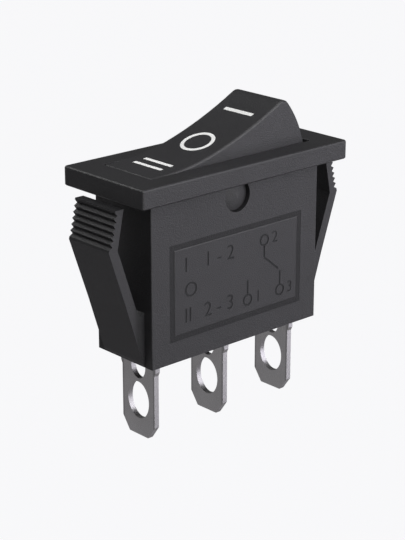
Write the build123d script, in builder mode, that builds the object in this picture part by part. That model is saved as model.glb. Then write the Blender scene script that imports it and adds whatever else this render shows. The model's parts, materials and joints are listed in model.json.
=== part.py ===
"""Snap-in rocker switch, three positions, one pole with change-over contacts.

Frame: millimetres. The origin is the middle of the plane in which the bezel rests on its panel,
X runs along the bezel, Y across it and Z up, out of the panel. The switch is drawn with its -X end
pressed, so the +X contact is closed. Distances "below" are measured down from the panel plane.
"""
import os
from math import asin, cos, degrees, radians, sin, tan

from build123d import *

# --- Box that goes through the panel -----------------------------------------------------------
body_length = 25.74
body_width = 9.5
body_depth = 19.53
body_edge_radius = 0.12
side_wall = 0.67
end_wall = 0.36
chamber_end_wall = 1.2
chamber_side_wall = 1.15
floor_thickness = 2.0
seat_height = 1.45
seat_inner_end = 4.6
centre_block_length = 3.0

# --- Bezel ---------------------------------------------------------------------------------------
flange_end = 2.78
flange_side = 2.0
bezel_thickness = 2.28
bezel_corner_radius = 0.3
bezel_edge_radius = 0.28
bezel_rim_chamfer = 0.14
lip_thickness = 0.58
lip_overhang = 0.34
lip_chamfer = 0.05

# --- Label frame on the front wall ---------------------------------------------------------------
label_length = 20.5
label_height = 11.4
label_drop = 5.6
label_groove = 0.66
label_depth = 0.16

# --- Snap-in latches -----------------------------------------------------------------------------
latch_width = 6.92
latch_spread = 4.83
latch_knee_drop = 5.03
latch_top_drop = 0.5
latch_top_spread = 3.82
latch_bend_spread = 2.34
latch_bend_drop = 12.38
latch_heel_spread = 0.25
latch_heel_height = 0.52
latch_head_thickness = 1.12
latch_thickness = 1.22
latch_crotch_gap = 0.65
latch_crotch_drop = 13.3
latch_root_drop = 13.03
serration_count = 6
serration_pitch = 0.69
serration_depth = 0.38
serration_start = 0.3

# --- Rocker --------------------------------------------------------------------------------------
throw = 32.0
pivot_depth = 1.85
pivot_radius = 1.8
pivot_clearance = 0.1
pivot_recess = 0.22
pivot_dome = 0.3
side_gap = 0.08
end_gap = 0.18
end_face_offset = 0.93
end_face_centre_z = 1.16
saddle_x = -1.5
saddle_height = 5.89
saddle_flat_slope = 13.5
saddle_tight_radius = 26.7
saddle_wide_radius = 52
rocker_skirt_drop = 0.3
rocker_corner_radius_one = 1.15
rocker_corner_radius_two = 0.2
rocker_edge_radius = 0.3
rocker_wall = 1.1
pivot_ear_radius = 2.7
boss_radius = 2.1
boss_drop = 8.0
boss_bore_height = 2.6
rib_thickness = 0.9
rib_distance = 6.1
rib_rise = 1.5
pocket_floor_gap = 0.4

# --- Plunger and spring --------------------------------------------------------------------------
plunger_radius = 1.2
plunger_clearance = 0.08
plunger_drop = 4.6
plunger_pip_radius = 0.5
plunger_pip_height = 0.9
spring_wire = 0.3
spring_wire_sides = 4
spring_radius = 0.82
spring_turns = 5
spring_end_gap = 0.03

# --- Contact lever -------------------------------------------------------------------------------
lever_swing = 18.0
lever_thickness = 0.8
lever_width = 4.6
lever_reach = 8.0
lever_arm_height = 2.4
lever_bend_radius = 0.5
lever_seat_lift = 0.05
knife_clearance = 0.04
tip_clearance = 0.03

# --- Contacts ------------------------------------------------------------------------------------
contact_radius = 1.5
contact_distance = 6.4
moving_contact_head = 0.7
moving_contact_dome = 0.25
fixed_contact_head = 0.6
fixed_contact_bevel = 0.15
contact_shank_radius = 0.75
contact_shank_clearance = 0.02
contact_tail_radius = 1.1
contact_tail_height = 0.3
contact_gap = 0.02
contact_tail_clearance = 0.2

# --- Terminals -----------------------------------------------------------------------------------
terminal_pitch = 10.63
terminal_thickness = 0.66
terminal_width = 5.6
terminal_length = 9.94
terminal_tip_width = 3.27
terminal_tip_taper = 1.63
terminal_tip_radius = 0.15
terminal_neck_width = 6.05
terminal_shoulder_drop = 1.45
terminal_shoulder_taper = 0.45
terminal_slot_clearance = 0.05
terminal_bend_radius = 0.7
terminal_plate_end = 4.9
lug_hole_width = 3.64
lug_hole_height = 4.54
lug_hole_drop = 5.6
neck_hole_width = 2.5
neck_hole_height = 3.2
lug_hole_web = 0.42
ear_clearance = 0.15
ear_height = 1.5

# --- Worked-out sizes ----------------------------------------------------------------------------
tilt = throw / 2
lever_tilt = lever_swing / 2
bezel_length = body_length + 2 * flange_end
bezel_width = body_width + 2 * flange_side
pocket_length = body_length - 2 * end_wall
pocket_width = body_width - 2 * side_wall
rocker_width = pocket_width - 2 * side_gap
chamber_length = body_length - 2 * chamber_end_wall
chamber_width = body_width - 2 * chamber_side_wall
lip_length = pocket_length - 2 * lip_overhang
pivot_bore_radius = pivot_radius + pivot_clearance
pivot_reach = body_width / 2 - pivot_recess
pivot_dome_radius = (pivot_radius**2 + pivot_dome**2) / (2 * pivot_dome)

# The rocker's end faces are arcs that just clear the pocket when their end is pressed.
end_face_swing = end_face_centre_z * sin(radians(tilt)) - end_face_offset * cos(radians(tilt))
end_face_radius = pocket_length / 2 - end_gap - end_face_swing
skirt_reach = end_face_radius - end_face_offset
skirt_low = skirt_reach * sin(radians(tilt)) + rocker_skirt_drop * cos(radians(tilt))
pocket_depth = pivot_depth + skirt_low + pocket_floor_gap

# The terminals stand on seats in the box. The lever rocks on the knife edge of the middle one, at a
# height where its lower contact just meets the fixed one.
floor_z = -body_depth + floor_thickness
seat_z = floor_z + seat_height
plate_top = seat_z + terminal_thickness
bend_inside_radius = terminal_bend_radius - terminal_thickness / 2
dome_radius = (contact_radius**2 + moving_contact_dome**2) / (2 * moving_contact_dome)
dome_centre_height = lever_arm_height - lever_thickness - moving_contact_head + dome_radius
touch_x = contact_distance * cos(radians(lever_tilt)) + dome_centre_height * sin(radians(lever_tilt))
touch_height = (
    dome_centre_height * cos(radians(lever_tilt)) - contact_distance * sin(radians(lever_tilt)) - dome_radius
)
knife_z = plate_top + fixed_contact_head + contact_gap - touch_height
knife_radius = terminal_thickness / 2

# The plunger's round tip swings on this radius about the pivot, and the lever's valley is an arc that
# follows it as rocker and lever turn together.
valley_height = lever_thickness - lever_seat_lift
pivot_above_knife = -pivot_depth - knife_z
tip_swing_radius = pivot_above_knife - valley_height - tip_clearance - plunger_radius
tip_low = pivot_above_knife - tip_swing_radius
tip_side = tip_swing_radius * sin(radians(tilt))
tip_high = pivot_above_knife - tip_swing_radius * cos(radians(tilt))
tip_end_x = tip_side * cos(radians(lever_tilt)) - tip_high * sin(radians(lever_tilt))
tip_end_z = tip_side * sin(radians(lever_tilt)) + tip_high * cos(radians(lever_tilt))
tip_path_radius = (tip_end_x**2 + (tip_end_z - tip_low) ** 2) / (2 * (tip_end_z - tip_low))
valley_radius = tip_path_radius + plunger_radius + tip_clearance

# --- Planes the moving pieces are drawn on -------------------------------------------------------
# Each looks at the piece from the front (-Y): its x runs along the piece and its y is the piece's up.
rocker_side = Plane(
    origin=(0, 0, -pivot_depth), x_dir=(cos(radians(tilt)), 0, sin(radians(tilt))), z_dir=(0, -1, 0)
)
lever_side = Plane(
    origin=(0, 0, knife_z),
    x_dir=(cos(radians(lever_tilt)), 0, -sin(radians(lever_tilt))),
    z_dir=(0, -1, 0),
)
rocker_up = rocker_side.y_dir
rocker_top = Plane(origin=rocker_side.origin, x_dir=rocker_side.x_dir, z_dir=rocker_up)
rocker_end = Plane(origin=rocker_side.origin, x_dir=(0, 1, 0), z_dir=rocker_side.x_dir)
lever_top = Plane(origin=lever_side.origin, x_dir=lever_side.x_dir, z_dir=lever_side.y_dir)
far = 3 * body_length


def latch_profile():
    """Outline of the +X latch, seen from the front, closed inside the end wall."""
    wall = body_length / 2
    root = wall - end_wall / 2
    heel = Vector(wall + latch_heel_spread, -body_depth + latch_heel_height)
    bend = Vector(wall + latch_bend_spread, -latch_bend_drop)
    knee = Vector(wall + latch_spread, -latch_knee_drop)
    top = Vector(wall + latch_top_spread, -latch_top_drop)
    up_face = (top - knee).normalized()
    inward = Vector(-up_face.Y, up_face.X)
    inside = Vector(-latch_thickness, 0)
    teeth = []
    for tooth in range(serration_count):
        start = knee + up_face * (serration_start + tooth * serration_pitch)
        teeth += [start, start + up_face * (serration_pitch / 2) + inward * serration_depth]
    teeth.append(knee + up_face * (serration_start + serration_count * serration_pitch))
    with BuildSketch(Plane.XZ) as outline:
        with BuildLine():
            Polyline(
                (root, -body_depth),
                (wall, -body_depth),
                heel,
                bend,
                knee,
                *teeth,
                top,
                top + Vector(-latch_head_thickness, 0),
                knee + inside,
                bend + inside,
                (wall + latch_crotch_gap, -latch_crotch_drop),
                (wall, -latch_root_drop),
                (root, -latch_root_drop),
                close=True,
            )
        make_face()
    return outline.sketch


def make_housing():
    """Bezel, box and both snap-in latches: one moulding."""
    with BuildPart() as housing:
        with BuildSketch(Plane.XY):
            RectangleRounded(bezel_length, bezel_width, bezel_corner_radius)
        extrude(amount=bezel_thickness)
        fillet(housing.edges().group_by(Axis.Z)[-1], bezel_edge_radius)
        chamfer(housing.edges().group_by(Axis.Z)[0], bezel_rim_chamfer)
        with BuildSketch(Plane.XY.offset(-body_depth)):
            RectangleRounded(body_length, body_width, body_edge_radius)
        extrude(amount=body_depth + bezel_thickness / 2)
        latch = extrude(latch_profile(), amount=latch_width / 2, both=True)
        mirror(latch, about=Plane.YZ)

        # Opening for the rocker, its wider pocket under the lip, and the contact chamber below.
        with BuildSketch(Plane.XY.offset(bezel_thickness)):
            Rectangle(lip_length, pocket_width)
        extrude(amount=-lip_thickness, mode=Mode.SUBTRACT)
        top_edges = housing.edges().group_by(Axis.Z)[-1]
        rim = top_edges.filter_by_position(Axis.X, -lip_length / 2, lip_length / 2)
        chamfer(rim.filter_by_position(Axis.Y, -pocket_width / 2, pocket_width / 2), lip_chamfer)
        with BuildSketch(Plane.XY.offset(bezel_thickness - lip_thickness)):
            Rectangle(pocket_length, pocket_width)
        extrude(amount=-(bezel_thickness - lip_thickness) - pocket_depth, mode=Mode.SUBTRACT)
        with BuildSketch(Plane.XY.offset(-pocket_depth)):
            Rectangle(chamber_length, chamber_width)
        extrude(amount=seat_z + pocket_depth, mode=Mode.SUBTRACT)

        # Wells between the seats of the outer terminals and the block of the middle one.
        well_length = seat_inner_end - centre_block_length / 2
        well_x = (seat_inner_end + centre_block_length / 2) / 2
        with BuildSketch(Plane.XY.offset(seat_z)):
            with Locations((-well_x, 0), (well_x, 0)):
                Rectangle(well_length, chamber_width)
        extrude(amount=-seat_height, mode=Mode.SUBTRACT)

        # Slots for the terminals and hollows for the tails of their contacts.
        with BuildSketch(Plane.XY.offset(seat_z)):
            with Locations((-terminal_pitch, 0), (0, 0), (terminal_pitch, 0)):
                Rectangle(
                    terminal_thickness + 2 * terminal_slot_clearance,
                    terminal_neck_width + 2 * terminal_slot_clearance,
                )
        extrude(amount=-body_depth - seat_z, mode=Mode.SUBTRACT)
        with BuildSketch(Plane.XY.offset(seat_z)):
            with Locations((-touch_x, 0), (touch_x, 0)):
                Circle(contact_tail_radius + contact_tail_clearance)
        extrude(amount=-contact_tail_height - contact_tail_clearance, mode=Mode.SUBTRACT)
        relief_x = terminal_pitch - (terminal_thickness + bend_inside_radius) / 2
        with BuildSketch(Plane.XY.offset(seat_z)):
            with Locations((-relief_x, 0), (relief_x, 0)):
                Rectangle(
                    bend_inside_radius + 2 * terminal_slot_clearance,
                    terminal_neck_width + 2 * terminal_slot_clearance,
                )
        extrude(amount=-bend_inside_radius, mode=Mode.SUBTRACT)

        # Round holes in the side walls for the rocker's pivots.
        with BuildSketch(Plane.XZ.offset(body_width / 2)):
            with Locations((0, -pivot_depth)):
                Circle(pivot_bore_radius)
        extrude(amount=-body_width, mode=Mode.SUBTRACT)

        # Frame groove for the label on the front wall.
        with BuildSketch(Plane.XZ.offset(body_width / 2)):
            with Locations((0, -label_drop - label_height / 2)):
                Rectangle(label_length, label_height)
                Rectangle(
                    label_length - 2 * label_groove, label_height - 2 * label_groove, mode=Mode.SUBTRACT
                )
        extrude(amount=-label_depth, mode=Mode.SUBTRACT)
    return housing


def rocker_profile(inset, bottom, rounded):
    """Side outline of the rocker about its pivot, kept inside the true one by inset."""
    low_z = saddle_height - inset
    tight = saddle_tight_radius + inset
    wide = saddle_wide_radius + inset
    slope = radians(saddle_flat_slope)
    flat_start = Vector(saddle_x - tight * sin(slope), low_z + tight * (1 - cos(slope)))
    flat_end = flat_start + Vector(-far, far * tan(slope))
    wide_angle = asin((skirt_reach - saddle_x) / wide)
    wide_end = Vector(saddle_x + wide * sin(wide_angle), low_z + wide * (1 - cos(wide_angle)))
    with BuildSketch(rocker_side) as outline:
        with Locations((-end_face_offset, end_face_centre_z)):
            Circle(end_face_radius - inset)
        with Locations((end_face_offset, end_face_centre_z)):
            Circle(end_face_radius - inset, mode=Mode.INTERSECT)
        with Locations((0, far / 2 - bottom)):
            Rectangle(2 * far, far, mode=Mode.INTERSECT)
        with BuildLine():
            Polyline(wide_end, (wide_end.X, 2 * far), (flat_end.X, 2 * far), flat_end, flat_start)
            CenterArc((saddle_x, low_z + tight), tight, 270 - saddle_flat_slope, saddle_flat_slope)
            CenterArc((saddle_x, low_z + wide), wide, 270, degrees(wide_angle))
        make_face(mode=Mode.SUBTRACT)
        if rounded:
            for side, radius in ((1, rocker_corner_radius_one), (-1, rocker_corner_radius_two)):
                corners = outline.vertices().filter_by(lambda corner: side * corner.X > 0)
                fillet(corners.sort_by(Axis.Y)[-1], radius)
    return outline.sketch


def make_rocker():
    """Rocker cap, hollow from below, with its two pivots, the ribs and the plunger's boss."""
    skirt = rocker_width / 2 - rocker_wall
    with BuildPart() as rocker:
        extrude(rocker_profile(0, rocker_skirt_drop, rounded=True), amount=rocker_width / 2, both=True)
        sides = rocker.faces().filter_by(Axis.Y)
        bottom = rocker.faces().sort_by(Axis((0, 0, 0), rocker_up))[0]
        fillet(sides.edges() - bottom.edges(), rocker_edge_radius)
        hollow = rocker_profile(rocker_wall, far / 4, rounded=False)
        extrude(hollow, amount=skirt, both=True, mode=Mode.SUBTRACT)

        # Boss for the plunger, and ribs that stiffen the cap and tie the boss to its sides.
        with BuildSketch(rocker_top.offset(-boss_drop)):
            Circle(boss_radius)
        extrude(amount=boss_drop + saddle_height - rocker_wall / 2)
        with BuildSketch(rocker_side):
            with Locations(*[(x, (rib_rise + saddle_height) / 2) for x in (-rib_distance, rib_distance)]):
                Rectangle(rib_thickness, saddle_height - rib_rise)
            with Locations((0, saddle_height / 2 - rocker_wall / 2)):
                Rectangle(rib_thickness, saddle_height)
        extrude(amount=skirt + rocker_wall / 2, both=True)
        with BuildSketch(rocker_top.offset(-boss_drop)):
            Circle(plunger_radius + plunger_clearance)
        extrude(amount=boss_drop + boss_bore_height, mode=Mode.SUBTRACT)

        # Ears that reach down round the pivots, and the pivots, domed so that they snap in.
        for side in (-1, 1):
            with BuildSketch(rocker_side.offset(side * skirt)):
                Circle(pivot_ear_radius)
            extrude(amount=side * rocker_wall)
            with BuildSketch(rocker_end):
                with Locations((side * (pivot_reach - pivot_dome_radius), 0)):
                    Circle(pivot_dome_radius)
                with Locations((side * (skirt + far / 2), pivot_radius / 2)):
                    Rectangle(far, pivot_radius, mode=Mode.INTERSECT)
            revolve(axis=Axis(rocker_side.origin, (0, 1, 0)))
    return rocker


def make_plunger():
    """Nylon pin with a round tip, guided in the rocker's boss, and a pip that centres its spring."""
    with BuildPart() as plunger:
        with BuildSketch(rocker_side):
            with BuildLine():
                Polyline(
                    (plunger_radius, -tip_swing_radius),
                    (plunger_radius, -plunger_drop),
                    (plunger_pip_radius, -plunger_drop),
                    (plunger_pip_radius, -plunger_drop + plunger_pip_height),
                    (0, -plunger_drop + plunger_pip_height),
                    (0, -tip_swing_radius - plunger_radius),
                )
                CenterArc((0, -tip_swing_radius), plunger_radius, 270, 90)
            make_face()
        revolve(axis=Axis(rocker_side.origin, rocker_side.y_dir))
    return plunger


def make_plunger_spring():
    """Compression spring between the end of the boss's bore and the plunger."""
    low = -plunger_drop + spring_end_gap + spring_wire / 2
    high = boss_bore_height - spring_end_gap - spring_wire / 2
    with BuildPart() as spring:
        with BuildLine() as coil:
            Helix(
                pitch=(high - low) / spring_turns,
                height=high - low,
                radius=spring_radius,
                center=rocker_side.from_local_coords((0, low, 0)),
                direction=rocker_side.y_dir,
            )
        with BuildSketch(Plane(origin=coil.line @ 0, z_dir=coil.line % 0)):
            RegularPolygon(spring_wire / 2, spring_wire_sides)
        sweep(is_frenet=True)
    return spring


def make_contact_lever():
    """Copper strip bent to a valley for the plunger, rocking on the middle terminal's knife edge."""
    with BuildPart() as lever:
        with BuildSketch(lever_side) as strip:
            with Locations((0, valley_height + valley_radius)):
                Circle(valley_radius + lever_thickness)
            with Locations((0, lever_arm_height - lever_thickness / 2)):
                Rectangle(2 * lever_reach, lever_thickness)
            with Locations((0, valley_height + valley_radius)):
                Circle(valley_radius, mode=Mode.SUBTRACT)
            with Locations((0, lever_arm_height + far / 2)):
                Rectangle(2 * far, far, mode=Mode.SUBTRACT)
            bends = strip.vertices().filter_by(lambda corner: abs(corner.X) < lever_reach - lever_thickness)
            fillet(bends, lever_bend_radius)
            Circle(knife_radius + knife_clearance, mode=Mode.SUBTRACT)
        extrude(amount=lever_width / 2, both=True)
        with BuildSketch(lever_top):
            with Locations((-contact_distance, 0), (contact_distance, 0)):
                Circle(contact_shank_radius + contact_shank_clearance)
        extrude(amount=far, both=True, mode=Mode.SUBTRACT)
    return lever


def make_contact(seat, strip, head, rim_drop, domed):
    """Contact rivet. The seat's origin is on the strip's face, and its y is the way the head faces."""
    with BuildPart() as contact:
        with BuildSketch(seat):
            with BuildLine():
                rim = (contact_radius, head - rim_drop)
                if domed:
                    RadiusArc((0, head), rim, dome_radius)
                else:
                    Polyline((0, head), (contact_radius - rim_drop, head), rim)
                Polyline(
                    rim,
                    (contact_radius, 0),
                    (contact_shank_radius, 0),
                    (contact_shank_radius, -strip),
                    (contact_tail_radius, -strip),
                    (contact_tail_radius, -strip - contact_tail_height),
                    (0, -strip - contact_tail_height),
                    (0, head),
                )
            make_face()
        revolve(axis=Axis(seat.origin, seat.y_dir))
    return contact


def make_moving_contact(side):
    """Domed contact under the lever's arm on the given side."""
    seat = Plane(
        origin=lever_side.from_local_coords((side * contact_distance, lever_arm_height - lever_thickness, 0)),
        x_dir=lever_side.x_dir,
        z_dir=(0, 1, 0),
    )
    return make_contact(seat, lever_thickness, moving_contact_head, moving_contact_dome, domed=True)


def make_fixed_contact(side):
    """Flat contact on the plate of the outer terminal on the given side."""
    seat = Plane(origin=(side * touch_x, 0, plate_top), x_dir=(1, 0, 0), z_dir=(0, -1, 0))
    return make_contact(seat, terminal_thickness, fixed_contact_head, fixed_contact_bevel, domed=False)


def blade_outline(x, top):
    """Face of a terminal's blade at x, from its tip up to the given height."""
    tip = -body_depth - terminal_length
    shoulder = -body_depth - terminal_shoulder_drop
    half = [
        (terminal_tip_width / 2, tip),
        (terminal_width / 2, tip + terminal_tip_taper),
        (terminal_width / 2, shoulder - terminal_shoulder_taper),
        (terminal_neck_width / 2, shoulder),
        (terminal_neck_width / 2, top),
    ]
    with BuildSketch(Plane.YZ.offset(x)) as outline:
        Polygon(*half, *[(-y, z) for y, z in reversed(half)], align=None)
        fillet(outline.vertices().sort_by(Axis.Y)[:2], terminal_tip_radius)
    return outline.sketch


def lug_holes(x):
    """The wire hole and the smaller neck hole, both oval, on the +X face of the blade at x."""
    low = -body_depth - lug_hole_drop
    high = low + lug_hole_height / 2 + lug_hole_web + neck_hole_height / 2
    with BuildSketch(Plane.YZ.offset(x + terminal_thickness / 2)) as holes:
        with Locations((0, low)):
            Ellipse(lug_hole_width / 2, lug_hole_height / 2)
        with Locations((0, high)):
            Ellipse(neck_hole_width / 2, neck_hole_height / 2)
    return holes.sketch


def make_outer_terminal(side):
    """Solder lug whose upper end is bent inwards to a plate that carries the fixed contact."""
    x = side * terminal_pitch
    middle_z = plate_top - terminal_thickness / 2
    with BuildPart() as terminal:
        extrude(blade_outline(x, -body_depth), amount=terminal_thickness / 2, both=True)
        with BuildSketch(Plane.XZ):
            with BuildLine():
                FilletPolyline(
                    (x, -body_depth - terminal_shoulder_drop / 2),
                    (x, middle_z),
                    (side * terminal_plate_end, middle_z),
                    radius=terminal_bend_radius,
                )
            trace(line_width=terminal_thickness)
        extrude(amount=terminal_neck_width / 2, both=True)
        extrude(lug_holes(x), amount=-terminal_thickness, mode=Mode.SUBTRACT)
        with BuildSketch(Plane.XY.offset(seat_z)):
            with Locations((side * touch_x, 0)):
                Circle(contact_shank_radius + contact_shank_clearance)
        extrude(amount=terminal_thickness, mode=Mode.SUBTRACT)
    return terminal


def make_middle_terminal():
    """Solder lug whose upper end is the lever's knife edge, between two ears that keep it in line."""
    knife_length = lever_width + 2 * ear_clearance
    with BuildPart() as terminal:
        extrude(blade_outline(0, knife_z), amount=terminal_thickness / 2, both=True)
        with BuildSketch(Plane.YZ):
            with Locations((0, knife_z + ear_height / 2)):
                Rectangle(terminal_neck_width, ear_height)
                Rectangle(knife_length, ear_height, mode=Mode.SUBTRACT)
        extrude(amount=terminal_thickness / 2, both=True)
        with BuildSketch(Plane.XZ):
            with Locations((0, knife_z)):
                Circle(knife_radius)
        extrude(amount=knife_length / 2, both=True)
        extrude(lug_holes(0), amount=-terminal_thickness, mode=Mode.SUBTRACT)
    return terminal


pieces = {
    "housing": make_housing(),
    "rocker": make_rocker(),
    "plunger": make_plunger(),
    "plunger_spring": make_plunger_spring(),
    "contact_lever": make_contact_lever(),
    "moving_contact_one": make_moving_contact(1),
    "moving_contact_two": make_moving_contact(-1),
    "fixed_contact_one": make_fixed_contact(1),
    "fixed_contact_two": make_fixed_contact(-1),
    "terminal_one": make_outer_terminal(1),
    "terminal_two": make_outer_terminal(-1),
    "terminal_common": make_middle_terminal(),
}
os.makedirs("parts", exist_ok=True)
for name, piece in pieces.items():
    piece.part.label = name
    export_step(piece.part, f"parts/{name}.step")
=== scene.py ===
"""Looks of a snap-in rocker switch: moulded black plastic, plated lugs, printed signs and an engraved label.

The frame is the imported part's: X along the bezel, Y across it, Z out of the panel. Blender works in metres;
what is drawn here is sized in millimetres and scaled once, by MM.
"""
import json
from math import cos, pi, radians, sin

import bmesh
import bpy
from mathutils import Matrix, Vector
from mathutils.bvhtree import BVHTree


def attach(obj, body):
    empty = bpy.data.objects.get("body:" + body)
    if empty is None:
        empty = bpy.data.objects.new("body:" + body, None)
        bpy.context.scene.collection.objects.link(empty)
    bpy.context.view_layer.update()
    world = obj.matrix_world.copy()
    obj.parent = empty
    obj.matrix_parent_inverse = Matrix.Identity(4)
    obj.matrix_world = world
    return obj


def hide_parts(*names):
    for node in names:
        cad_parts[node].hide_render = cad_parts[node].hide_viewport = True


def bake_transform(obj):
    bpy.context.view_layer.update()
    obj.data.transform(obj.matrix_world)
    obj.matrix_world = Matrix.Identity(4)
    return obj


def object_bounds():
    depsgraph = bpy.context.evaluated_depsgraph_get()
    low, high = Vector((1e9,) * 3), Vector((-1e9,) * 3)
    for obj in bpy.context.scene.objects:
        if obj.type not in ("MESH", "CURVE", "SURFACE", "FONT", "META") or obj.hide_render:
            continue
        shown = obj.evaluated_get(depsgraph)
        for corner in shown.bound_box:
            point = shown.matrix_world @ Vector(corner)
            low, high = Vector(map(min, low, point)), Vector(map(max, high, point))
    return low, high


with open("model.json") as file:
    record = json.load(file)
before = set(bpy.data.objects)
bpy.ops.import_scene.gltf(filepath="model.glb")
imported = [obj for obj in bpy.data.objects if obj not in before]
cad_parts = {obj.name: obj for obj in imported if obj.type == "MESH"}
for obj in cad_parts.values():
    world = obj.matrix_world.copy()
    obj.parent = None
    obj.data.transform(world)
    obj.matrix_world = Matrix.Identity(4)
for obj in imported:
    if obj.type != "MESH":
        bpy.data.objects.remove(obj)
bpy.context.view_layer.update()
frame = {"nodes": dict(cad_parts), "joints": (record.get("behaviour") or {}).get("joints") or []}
MM = 0.001

# --- Camera and studio, in degrees and metres -----------------------------------------------------
CAMERA_AZIMUTH = -42.29
CAMERA_ELEVATION = 19.30
CAMERA_DISTANCE = 0.18675
CAMERA_TARGET = Vector((-0.00307, -0.00224, -0.01062))
CAMERA_LENS = 109.13
FLOOR_DROP = 0.35
FLOOR_HALF_WIDTH = 4.0
FLOOR_GREY = (0.25, 0.236, 0.254, 1.0)
PALE = (0.985, 0.985, 1.0, 1.0)
PALE_TO_CAMERA = 0.95
FLOOR_TO_GLOSSY = 0.16
WORLD_TO_GLOSSY = 0.03
AMBIENT = 0.08
WHITE = (1.0, 1.0, 1.0)
COOL = (1.0, 0.975, 1.09)

# --- Finishes: scales in features per metre, bump depths in metres, lengths in millimetres ----------
HOUSING_BLACK = (0.018, 0.0177, 0.0192)
ROCKER_BLACK = (0.0235, 0.0231, 0.0251)
# Painted shade: the darker skin in the label frame's groove and under the engraved strokes.
GROOVE_SHADE_BLACK = (0.012, 0.0118, 0.0128)
PRINT_WHITE = (0.89, 0.89, 0.88)
NYLON = (0.70, 0.68, 0.60)
BRASS = (0.72, 0.52, 0.26)
STEEL = (0.55, 0.56, 0.58)
SILVER = (0.82, 0.80, 0.77)

NOISE_LOW = 0.3
NOISE_HIGH = 0.7
MOULD_GRAIN = 7500.0
MOULD_GRAIN_DEPTH = 4.5e-5
MOULD_CLOUDS = 260.0
MOULD_TONES = (0.94, 1.06)
MOULD_SPREAD = 0.05
MATT_BELOW = -0.5
MATT_GAIN = 0.12
DULL_SPECULAR = 0.3

METAL_MARKS = 3000.0
METAL_MARK_DEPTH = 2e-7
METAL_CLOUDS = 350.0
METAL_TONES = (0.92, 1.06)
METAL_SPREAD = 0.06
DRAWN_ALONG_X = (1.0, 6.0, 6.0)

LUG_TONE = 0.73
LUG_TINT = (1.0, 0.985, 0.99)
LUG_TONES = (0.94, 1.04)
LUG_STREAK = (4.0, 4.0, 0.3)
LUG_ROUGHNESS = (0.24, 0.30)
LUG_LENGTH = 6.0
# Painted reflection: a dark line along the lugs' long edges, standing in for the dark that their rolled-over
# edges reflect.
ROLL_WIDTH = 0.25
ROLL_PAINTED_SHADE = 0.72
CUT_TONE = 0.55
CUT_GAIN = 0.12
# Painted shade: the cut faces near the strip's middle, its hole walls, are darker than the outer cut edges.
HOLE_SHADE_TONE = 0.46
HOLE_SHADE_SHARE = 0.72

# --- Signs printed on the rocker, about its pivot: along it, across it -----------------------------
SIGN_BAR_LENGTH = 4.55
SIGN_BAR_THICKNESS = 0.5
SIGN_ONE_AT = (6.6,)
SIGN_TWO_AT = (-6.16, -7.65)
SIGN_RING_AT = -0.14
SIGN_RING_OUTER = 2.04
SIGN_RING_INNER = 1.6
PRINT_THICKNESS = 0.02
PRINT_SINK = 0.02
RAY_START = 20.0

# --- Plunger's spring, up the rocker's middle line from its pivot -----------------------------------
SPRING_LOW = -4.42
SPRING_HIGH = 2.42
SPRING_RADIUS = 0.82
SPRING_WIRE = 0.3
SPRING_TURNS = 5

# --- Engraved field inside the housing's label frame ------------------------------------------------
FRAME_LENGTH = 20.5
FRAME_HEIGHT = 11.4
FRAME_TOP = -5.6
FRAME_GROOVE = 0.66
WALL_Y = -4.75
FIELD_THICKNESS = 0.05
FIELD_SLOPE = 0.1
FLOOR_THICKNESS = 0.01
GROOVE_LIFT = 0.14
GROOVE_DEPTH = 0.16
CUT_DEPTH = 4 * FIELD_THICKNESS
WELD = 1e-4

# Its table: a sign, the lugs that the position joins, and the row's height. Then its diagram: the lugs
# as rings, with a blade from lug 2 to lug 3, which is how the part is drawn. The lugs are numbered
# from left to right, and the places of the stems, blade and digits count from their lug.
STROKE = 0.24
LETTER_SIZE = 2.5
SIGN_COLUMN = -8.2
LUGS_COLUMN = -5.2
TABLE = (("I", "1 - 2", 2.2), ("O", "", -0.8), ("II", "2 - 3", -3.8))
LUG_ONE = Vector((1.6, -3.4))
LUG_TWO = Vector((4.2, 3.3))
LUG_THREE = Vector((6.8, -3.4))
LUG_RING = 0.5
STEM_TOP = Vector((0.0, 2.4))
BLADE_PIVOT = Vector((0.0, -2.1))
BLADE_TIP = Vector((-0.35, 2.75))
DIGIT_SIZE = 2.0
DIGITS = (("2", LUG_TWO, (1.2, -0.6)), ("1", LUG_ONE, (1.2, -0.6)), ("3", LUG_THREE, (1.15, -0.6)))


# --- Materials -----------------------------------------------------------------------------------
def node_tree(owner):
    owner.use_nodes = True
    owner.node_tree.nodes.clear()
    return owner.node_tree.nodes, owner.node_tree.links


def arithmetic(nodes, links, operation, first, second=None, third=None):
    """A Math node's result. Each operand is a socket or a number."""
    node = nodes.new("ShaderNodeMath")
    node.operation = operation
    for operand, socket in zip((first, second, third), node.inputs):
        if operand is None:
            continue
        if isinstance(operand, (int, float)):
            socket.default_value = operand
        else:
            links.new(operand, socket)
    return node.outputs[0]


def coordinate(nodes, links, kind, axis):
    """One axis of the object's own coordinates: kind is Object, for the place, or Normal."""
    place = nodes.new("ShaderNodeTexCoord")
    split = nodes.new("ShaderNodeSeparateXYZ")
    links.new(place.outputs[kind], split.inputs[0])
    return split.outputs[axis]


def object_noise(nodes, links, scale, detail=2.0, stretch=(1.0, 1.0, 1.0)):
    """Noise fixed to the object, from 0 to 1, with scale in features per metre."""
    place = nodes.new("ShaderNodeTexCoord")
    mapping = nodes.new("ShaderNodeMapping")
    mapping.inputs["Scale"].default_value = stretch
    noise = nodes.new("ShaderNodeTexNoise")
    noise.inputs["Scale"].default_value = scale
    noise.inputs["Detail"].default_value = detail
    links.new(place.outputs["Object"], mapping.inputs["Vector"])
    links.new(mapping.outputs["Vector"], noise.inputs["Vector"])
    return noise.outputs["Fac"]


def spread(nodes, links, value, low, high):
    """Maps the middle of a noise's range to low..high."""
    node = nodes.new("ShaderNodeMapRange")
    node.inputs["From Min"].default_value = NOISE_LOW
    node.inputs["From Max"].default_value = NOISE_HIGH
    node.inputs["To Min"].default_value = low
    node.inputs["To Max"].default_value = high
    links.new(value, node.inputs["Value"])
    return node.outputs["Result"]


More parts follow.
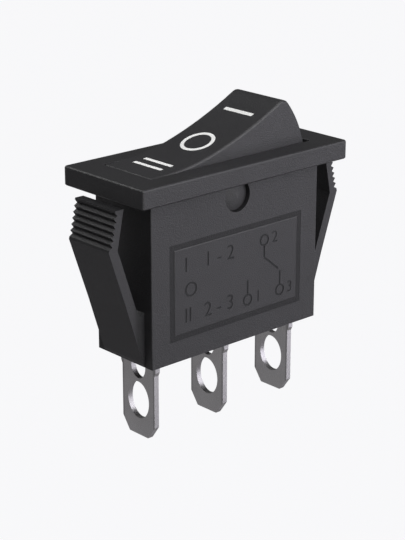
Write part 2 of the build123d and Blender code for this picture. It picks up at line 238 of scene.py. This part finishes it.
def tint(nodes, links, colour, factor):
    """The colour, made lighter or darker by a socket's factor."""
    node = nodes.new("ShaderNodeVectorMath")
    node.operation = "SCALE"
    node.inputs[0].default_value = colour
    links.new(factor, node.inputs["Scale"])
    return node.outputs[0]


def bump(nodes, links, height, depth):
    node = nodes.new("ShaderNodeBump")
    node.inputs["Strength"].default_value = 1.0
    node.inputs["Distance"].default_value = depth
    links.new(height, node.inputs["Height"])
    return node.outputs["Normal"]


def surface(name, metallic=0.0, specular=0.5):
    """A new material with its Principled shader, ready for its nodes."""
    material = bpy.data.materials.new(name)
    nodes, links = node_tree(material)
    output = nodes.new("ShaderNodeOutputMaterial")
    shader = nodes.new("ShaderNodeBsdfPrincipled")
    shader.inputs["Metallic"].default_value = metallic
    shader.inputs["Specular IOR Level"].default_value = specular
    links.new(shader.outputs[0], output.inputs["Surface"])
    return material, nodes, links, shader


def plastic(
    name, colour, roughness, grain=MOULD_GRAIN, grain_depth=MOULD_GRAIN_DEPTH, specular=0.5, matt_below=None
):
    """Moulded plastic with a fine spark-eroded grain, duller below a height where one is given."""
    material, nodes, links, shader = surface(name, specular=specular)
    fine = object_noise(nodes, links, grain, detail=3.0)
    tones = spread(nodes, links, object_noise(nodes, links, MOULD_CLOUDS), *MOULD_TONES)
    links.new(tint(nodes, links, colour, tones), shader.inputs["Base Color"])
    rough = spread(nodes, links, fine, roughness - MOULD_SPREAD, roughness + MOULD_SPREAD)
    if matt_below is not None:
        height = coordinate(nodes, links, "Object", "Z")
        low = arithmetic(nodes, links, "LESS_THAN", height, matt_below * MM)
        rough = arithmetic(nodes, links, "MULTIPLY_ADD", low, MATT_GAIN, rough)
    links.new(rough, shader.inputs["Roughness"])
    links.new(bump(nodes, links, fine, grain_depth), shader.inputs["Normal"])
    return material


def metal(name, colour, roughness, streak=(1.0, 1.0, 1.0)):
    """Sheet or wire metal with faint drawing marks."""
    material, nodes, links, shader = surface(name, metallic=1.0)
    marks = object_noise(nodes, links, METAL_MARKS, detail=4.0, stretch=streak)
    tones = spread(nodes, links, object_noise(nodes, links, METAL_CLOUDS), *METAL_TONES)
    links.new(tint(nodes, links, colour, tones), shader.inputs["Base Color"])
    rough = spread(nodes, links, marks, roughness - METAL_SPREAD, roughness + METAL_SPREAD)
    links.new(rough, shader.inputs["Roughness"])
    links.new(bump(nodes, links, marks, METAL_MARK_DEPTH), shader.inputs["Normal"])
    return material


def cut_faces(nodes, links):
    """1 on faces that look along Y or Z, which on a lug are sheared, and 0 on its rolled faces."""
    sideways = arithmetic(nodes, links, "ABSOLUTE", coordinate(nodes, links, "Normal", "X"))
    return arithmetic(nodes, links, "LESS_THAN", sideways, 0.5)


def plated(name, half_width):
    """Plated strip: streaks along it, duller cut faces, a painted dark line standing in for the reflection
    where its long edges roll over, and painted shade on its hole walls.
    """
    material, nodes, links, shader = surface(name, metallic=1.0)
    marks = object_noise(nodes, links, METAL_MARKS, detail=2.0, stretch=LUG_STREAK)
    cut = cut_faces(nodes, links)
    across = arithmetic(nodes, links, "ABSOLUTE", coordinate(nodes, links, "Object", "Y"))
    # Painted dark line along the long edges of the broad faces, standing in for the rolled-over edges' dark
    # reflection.
    edge_shade_band = arithmetic(nodes, links, "GREATER_THAN", across, half_width - ROLL_WIDTH * MM)
    uncut = arithmetic(nodes, links, "SUBTRACT", 1.0, cut)
    rolled = arithmetic(nodes, links, "MULTIPLY", edge_shade_band, uncut)
    tones = spread(nodes, links, object_noise(nodes, links, METAL_CLOUDS), *LUG_TONES)
    tones = arithmetic(nodes, links, "MULTIPLY_ADD", rolled, ROLL_PAINTED_SHADE - 1.0, tones)
    # Painted shade on the hole walls: cut faces near the middle of the strip get a darker tone than the outer
    # cut edges.
    hole_shade = arithmetic(nodes, links, "LESS_THAN", across, HOLE_SHADE_SHARE * half_width)
    to_hole_shade = (HOLE_SHADE_TONE - CUT_TONE) / LUG_TONE
    cut_tone_and_hole_shade = arithmetic(nodes, links, "MULTIPLY_ADD", hole_shade, to_hole_shade, CUT_TONE / LUG_TONE - 1.0)
    tones = arithmetic(nodes, links, "MULTIPLY_ADD", cut, cut_tone_and_hole_shade, tones)
    colour = [LUG_TONE * share for share in LUG_TINT]
    links.new(tint(nodes, links, colour, tones), shader.inputs["Base Color"])
    rough = spread(nodes, links, marks, *LUG_ROUGHNESS)
    links.new(arithmetic(nodes, links, "MULTIPLY_ADD", cut, CUT_GAIN, rough), shader.inputs["Roughness"])
    links.new(bump(nodes, links, marks, METAL_MARK_DEPTH), shader.inputs["Normal"])
    return material


def paint(node, material):
    item = frame["nodes"][node]
    item.data.materials.clear()
    item.data.materials.append(material)


# --- Pieces ---------------------------------------------------------------------------------------
def mesh_data(name, mesh):
    """Mesh data made from a bmesh, which it frees."""
    data = bpy.data.meshes.new(name)
    mesh.to_mesh(data)
    mesh.free()
    return data


def put(name, data):
    """A new object in the scene."""
    item = bpy.data.objects.new(name, data)
    bpy.context.scene.collection.objects.link(item)
    return item


def piece(name, data, body, material):
    data.materials.clear()
    data.materials.append(material)
    item = put(name, data)
    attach(item, body)
    return item


class RockerTop:
    """Finds points on the rocker's curved top, from places along and across it about its pivot."""

    def __init__(self):
        joint = next(joint for joint in frame["joints"] if joint["name"] == "rocker_tilt")
        tilt = radians(sum(joint["range_deg"]) / 2)
        self.pivot = Vector(joint["pos_m"])
        self.along = Vector((cos(tilt), 0.0, sin(tilt)))
        self.up = Vector((-sin(tilt), 0.0, cos(tilt)))
        mesh = frame["nodes"]["rocker"].data
        corners = [vertex.co for vertex in mesh.vertices]
        self.surface = BVHTree.FromPolygons(corners, [polygon.vertices for polygon in mesh.polygons])

    def point(self, u, v, height):
        above = self.pivot + (self.along * u + self.up * RAY_START) * MM + Vector((0.0, v * MM, 0.0))
        return self.surface.ray_cast(above, -self.up)[0] + self.up * height * MM


def print_band(mesh, top, edges, closed):
    """Adds a thin printed band between two rows of places on the rocker's top."""
    rows = [[mesh.verts.new(top.point(*place, PRINT_THICKNESS)) for place in edge] for edge in edges]
    rows += [[mesh.verts.new(top.point(*place, -PRINT_SINK)) for place in edge] for edge in reversed(edges)]
    count = len(edges[0])
    for index in range(count if closed else count - 1):
        after = (index + 1) % count
        for row, next_row in zip(rows, rows[1:] + rows[:1]):
            mesh.faces.new((row[index], row[after], next_row[after], next_row[index]))
    if not closed:
        mesh.faces.new([row[0] for row in rows])
        mesh.faces.new([row[-1] for row in reversed(rows)])


def make_sign(name, top, bands, closed, material):
    mesh = bmesh.new()
    for edges in bands:
        print_band(mesh, top, edges, closed)
    bmesh.ops.recalc_face_normals(mesh, faces=mesh.faces)
    piece(name, mesh_data(name, mesh), "rocker", material)


def bar_edges(middle, steps=8):
    half = SIGN_BAR_THICKNESS / 2
    across = [SIGN_BAR_LENGTH * (step / steps - 0.5) for step in range(steps + 1)]
    return [[(middle + offset, v) for v in across] for offset in (-half, half)]


def ring_edges(steps=64):
    turns = [2 * pi * step / steps for step in range(steps)]
    return [
        [(SIGN_RING_AT + radius * cos(turn), radius * sin(turn)) for turn in turns]
        for radius in (SIGN_RING_INNER, SIGN_RING_OUTER)
    ]


def make_signs(top, material):
    make_sign("sign_one", top, [bar_edges(u) for u in SIGN_ONE_AT], False, material)
    make_sign("sign_two", top, [bar_edges(u) for u in SIGN_TWO_AT], False, material)
    make_sign("sign_off", top, [ring_edges()], True, material)


def make_coil(top, material, sides=10, steps=24):
    """Round-wire spring in place of the plain one."""
    mesh = bmesh.new()
    rings = []
    for index in range(SPRING_TURNS * steps + 1):
        turn = 2 * pi * index / steps
        height = SPRING_LOW + (SPRING_HIGH - SPRING_LOW) * index / (SPRING_TURNS * steps)
        out = top.along * cos(turn) + Vector((0.0, sin(turn), 0.0))
        middle = out * SPRING_RADIUS + top.up * height
        ring = []
        for side in range(sides):
            around = 2 * pi * side / sides
            skin = middle + (out * cos(around) + top.up * sin(around)) * SPRING_WIRE / 2
            ring.append(mesh.verts.new(top.pivot + skin * MM))
        rings.append(ring)
    for ring, next_ring in zip(rings, rings[1:]):
        for side in range(sides):
            after = (side + 1) % sides
            mesh.faces.new((ring[side], ring[after], next_ring[after], next_ring[side]))
    mesh.faces.new(rings[0])
    mesh.faces.new(rings[-1])
    bmesh.ops.recalc_face_normals(mesh, faces=mesh.faces)
    data = mesh_data("plunger_coil", mesh)
    data.shade_smooth()
    data.materials.append(material)
    coil = put("plunger_coil", data)
    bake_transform(coil)
    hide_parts("plunger_spring")


# What follows draws the label field and its painted-shade floor flat, in millimetres, with x along the wall
# and y up it from the frame's middle. stand_up then puts them on the wall.
def add_box(mesh, low, high):
    size = [b - a for a, b in zip(low, high)]
    middle = [(a + b) / 2 for a, b in zip(low, high)]
    place = Matrix.Translation(middle) @ Matrix.Diagonal((*size, 1.0))
    bmesh.ops.create_cube(mesh, size=1.0, matrix=place)


def add_stroke(mesh, start, end):
    """Straight stroke between two points, with square ends."""
    run = end - start
    turn = -Vector((1.0, 0.0)).angle_signed(run)
    middle = Matrix.Translation((*((start + end) / 2), 0.0))
    size = Matrix.Diagonal((run.length, STROKE, CUT_DEPTH, 1.0))
    bmesh.ops.create_cube(mesh, size=1.0, matrix=middle @ Matrix.Rotation(turn, 4, "Z") @ size)


def add_ring(mesh, middle, steps=32):
    """Closed ring of the stroke's width."""
    inside, outside = LUG_RING, LUG_RING + STROKE
    top, bottom = CUT_DEPTH / 2, -CUT_DEPTH / 2
    turns = [2 * pi * step / steps for step in range(steps)]
    rows = [
        [mesh.verts.new((middle.x + radius * cos(turn), middle.y + radius * sin(turn), z)) for turn in turns]
        for radius, z in ((inside, top), (outside, top), (outside, bottom), (inside, bottom))
    ]
    for row, next_row in zip(rows, rows[1:] + rows[:1]):
        for index in range(steps):
            after = (index + 1) % steps
            mesh.faces.new((row[index], row[after], next_row[after], next_row[index]))


def add_text(mesh, text, corner, size):
    """Text in Blender's own font, its lower left corner at the given place."""
    data = bpy.data.curves.new(text, "FONT")
    data.body = text
    data.size = size
    data.extrude = CUT_DEPTH / 2
    data.resolution_u = 4
    item = put(text, data)
    item.location = (*corner, 0.0)
    bpy.context.view_layer.update()
    solid = bpy.data.meshes.new_from_object(item.evaluated_get(bpy.context.evaluated_depsgraph_get()))
    solid.transform(item.matrix_world)
    mesh.from_mesh(solid)
    bpy.data.objects.remove(item)
    bpy.data.curves.remove(data)
    bpy.data.meshes.remove(solid)


def label_cutter():
    """Strokes of the label: which lugs each position joins, and the change-over diagram."""
    mesh = bmesh.new()
    for sign, lugs, y in TABLE:
        add_text(mesh, sign, (SIGN_COLUMN, y), LETTER_SIZE)
        if lugs:
            add_text(mesh, lugs, (LUGS_COLUMN, y), LETTER_SIZE)
    for lug in (LUG_TWO, LUG_ONE, LUG_THREE):
        add_ring(mesh, lug)
    pivot = LUG_TWO + BLADE_PIVOT
    rim = Vector((0.0, LUG_RING + STROKE))
    add_stroke(mesh, LUG_TWO - rim, pivot)
    add_stroke(mesh, pivot, LUG_THREE + BLADE_TIP)
    for lug in (LUG_ONE, LUG_THREE):
        add_stroke(mesh, lug + rim, lug + STEM_TOP)
    for digit, lug, offset in DIGITS:
        add_text(mesh, digit, lug + Vector(offset), DIGIT_SIZE)
    bmesh.ops.remove_doubles(mesh, verts=mesh.verts, dist=WELD)
    bmesh.ops.recalc_face_normals(mesh, faces=mesh.faces)
    return put("label_cutter", mesh_data("label_cutter", mesh))


def stand_up(data):
    """Puts what was drawn flat on the front wall, in metres."""
    middle = Matrix.Translation((0.0, WALL_Y, FRAME_TOP - FRAME_HEIGHT / 2))
    data.transform(Matrix.Scale(MM, 4) @ middle @ Matrix.Rotation(radians(90), 4, "X"))


def make_label_field(material):
    """Thin field on the front wall with the label cut through it, so that the strokes show engraved, over the
    painted-shade skin below.
    """
    x = FRAME_LENGTH / 2 - FRAME_GROOVE
    y = FRAME_HEIGHT / 2 - FRAME_GROOVE
    mesh = bmesh.new()
    add_box(mesh, (-x, -y, FLOOR_THICKNESS), (x, y, FLOOR_THICKNESS + FIELD_THICKNESS))
    for vertex in mesh.verts:
        if vertex.co.z > FLOOR_THICKNESS + FIELD_THICKNESS / 2:
            vertex.co.x *= 1 - FIELD_SLOPE / x
            vertex.co.y *= 1 - FIELD_SLOPE / y
    plate = put("label_plate", mesh_data("label_plate", mesh))
    cutter = label_cutter()
    cut = plate.modifiers.new("cut", "BOOLEAN")
    cut.operation = "DIFFERENCE"
    cut.solver = "EXACT"
    cut.use_self = True
    cut.object = cutter
    bpy.context.view_layer.update()
    data = bpy.data.meshes.new_from_object(plate.evaluated_get(bpy.context.evaluated_depsgraph_get()))
    for item in (plate, cutter):
        scrap = item.data
        bpy.data.objects.remove(item)
        bpy.data.meshes.remove(scrap)
    stand_up(data)
    data.name = "label_field"
    piece("label_field", data, "case", material)


def make_label_shade(material):
    """Darker, duller skin on the bottom of the frame groove and behind the engraved strokes: painted shade in
    these recesses.
    """
    outer_x, outer_y = FRAME_LENGTH / 2, FRAME_HEIGHT / 2
    x, y = outer_x - FRAME_GROOVE, outer_y - FRAME_GROOVE
    low, high = -GROOVE_DEPTH, GROOVE_LIFT - GROOVE_DEPTH
    mesh = bmesh.new()
    add_box(mesh, (-x, -y, 0.0), (x, y, FLOOR_THICKNESS))
    for side in (-1, 1):
        across = sorted((side * y, side * outer_y))
        add_box(mesh, (-outer_x, across[0], low), (outer_x, across[1], high))
        along = sorted((side * x, side * outer_x))
        add_box(mesh, (along[0], -y, low), (along[1], y, high))
    data = mesh_data("label_shade", mesh)
    stand_up(data)
    piece("label_shade", data, "case", material)


# --- Studio ---------------------------------------------------------------------------------------
def towards(azimuth, elevation):
    """Unit vector from the part. Azimuth 0 points in front of it, at -Y, and 90 at +X."""
    a, e = radians(azimuth), radians(elevation)
    return Vector((sin(a) * cos(e), -cos(a) * cos(e), sin(e)))


def pale_share(nodes, links, to_glossy):
    """How much of the pale background a ray sees: nearly all from the camera, less in reflections."""
    rays = nodes.new("ShaderNodeLightPath").outputs
    camera = arithmetic(nodes, links, "MULTIPLY", rays["Is Camera Ray"], PALE_TO_CAMERA)
    mirrored = arithmetic(nodes, links, "MAXIMUM", rays["Is Glossy Ray"], rays["Is Transmission Ray"])
    mirrored = arithmetic(nodes, links, "MULTIPLY", mirrored, to_glossy)
    return arithmetic(nodes, links, "MAXIMUM", camera, mirrored)


def make_world():
    world = bpy.data.worlds.new("studio")
    bpy.context.scene.world = world
    nodes, links = node_tree(world)
    output = nodes.new("ShaderNodeOutputWorld")
    mix = nodes.new("ShaderNodeMixShader")
    ambient = nodes.new("ShaderNodeBackground")
    ambient.inputs["Color"].default_value = (1.0, 1.0, 1.0, 1.0)
    ambient.inputs["Strength"].default_value = AMBIENT
    backdrop = nodes.new("ShaderNodeBackground")
    backdrop.inputs["Color"].default_value = PALE
    links.new(pale_share(nodes, links, WORLD_TO_GLOSSY), mix.inputs["Fac"])
    links.new(ambient.outputs[0], mix.inputs[1])
    links.new(backdrop.outputs[0], mix.inputs[2])
    links.new(mix.outputs[0], output.inputs["Surface"])


def make_floor():
    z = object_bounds()[0][2] - FLOOR_DROP
    w = FLOOR_HALF_WIDTH
    mesh = bpy.data.meshes.new("floor")
    mesh.from_pydata([(-w, -w, z), (w, -w, z), (w, w, z), (-w, w, z)], [], [(0, 1, 2, 3)])
    floor = put("floor", mesh)
    material = bpy.data.materials.new("floor")
    nodes, links = node_tree(material)
    output = nodes.new("ShaderNodeOutputMaterial")
    mix = nodes.new("ShaderNodeMixShader")
    lit = nodes.new("ShaderNodeBsdfDiffuse")
    lit.inputs["Color"].default_value = FLOOR_GREY
    pale = nodes.new("ShaderNodeEmission")
    pale.inputs["Color"].default_value = PALE
    links.new(pale_share(nodes, links, FLOOR_TO_GLOSSY), mix.inputs["Fac"])
    links.new(lit.outputs[0], mix.inputs[1])
    links.new(pale.outputs[0], mix.inputs[2])
    links.new(mix.outputs[0], output.inputs["Surface"])
    mesh.materials.append(material)


def make_softbox(name, azimuth, elevation, distance, width, height, radiance, colour=WHITE):
    """Rectangular lamp that looks at the part."""
    lamp = bpy.data.lights.new(name, "AREA")
    lamp.shape = "RECTANGLE"
    lamp.color = colour
    lamp.size = width
    lamp.size_y = height
    lamp.energy = radiance * pi * width * height
    item = put(name, lamp)
    away = towards(azimuth, elevation)
    item.location = CAMERA_TARGET + away * distance
    item.rotation_euler = away.to_track_quat("Z", "Y").to_euler()
    item.visible_camera = False


def make_camera():
    data = bpy.data.cameras.new("camera")
    data.lens = CAMERA_LENS
    camera = put("camera", data)
    back = towards(CAMERA_AZIMUTH, CAMERA_ELEVATION)
    camera.location = CAMERA_TARGET + back * CAMERA_DISTANCE
    camera.rotation_euler = back.to_track_quat("Z", "Y").to_euler()
    bpy.context.scene.camera = camera


make_camera()
make_world()
make_floor()
make_softbox("front", azimuth=-4, elevation=24, distance=0.4, width=0.42, height=0.42, radiance=4.0)
make_softbox("top", azimuth=-30, elevation=75, distance=0.5, width=0.4, height=0.4, radiance=1.75)
make_softbox("edge", azimuth=47, elevation=8, distance=0.9, width=0.36, height=0.9, radiance=2.6, colour=COOL)
make_softbox("rim", azimuth=206, elevation=37, distance=0.6, width=0.26, height=0.26, radiance=4.0)
make_softbox("back", azimuth=178, elevation=2, distance=0.9, width=0.3, height=0.6, radiance=0.9)

paint("housing", plastic("housing_plastic", HOUSING_BLACK, roughness=0.4))
paint("rocker", plastic("rocker_plastic", ROCKER_BLACK, roughness=0.42, matt_below=MATT_BELOW))
paint("plunger", plastic("plunger_nylon", NYLON, roughness=0.45, grain=3000.0, grain_depth=2e-6))
for terminal in ("terminal_two", "terminal_common", "terminal_one"):
    corners = [vertex.co for vertex in frame["nodes"][terminal].data.vertices]
    tip = min(corner.z for corner in corners)
    half_width = max(corner.y for corner in corners if corner.z < tip + LUG_LENGTH * MM)
    paint(terminal, plated(f"plated_{terminal}", half_width))
paint("contact_lever", metal("lever_brass", BRASS, roughness=0.32, streak=DRAWN_ALONG_X))
spring_steel = metal("spring_steel", STEEL, roughness=0.25)
paint("plunger_spring", spring_steel)
silver = metal("contact_silver", SILVER, roughness=0.35)
for contact in ("moving_contact_one", "moving_contact_two", "fixed_contact_one", "fixed_contact_two"):
    paint(contact, silver)

rocker_top = RockerTop()
white_print = plastic(
    "white_print", PRINT_WHITE, roughness=0.55, grain=9000.0, grain_depth=1e-6, specular=DULL_SPECULAR
)
make_signs(rocker_top, white_print)
make_coil(rocker_top, spring_steel)
make_label_field(plastic("label_plastic", HOUSING_BLACK, roughness=0.4))
make_label_shade(plastic("groove_shade_plastic", GROOVE_SHADE_BLACK, roughness=0.5, specular=DULL_SPECULAR))

bpy.context.scene.view_settings.view_transform = "Standard"
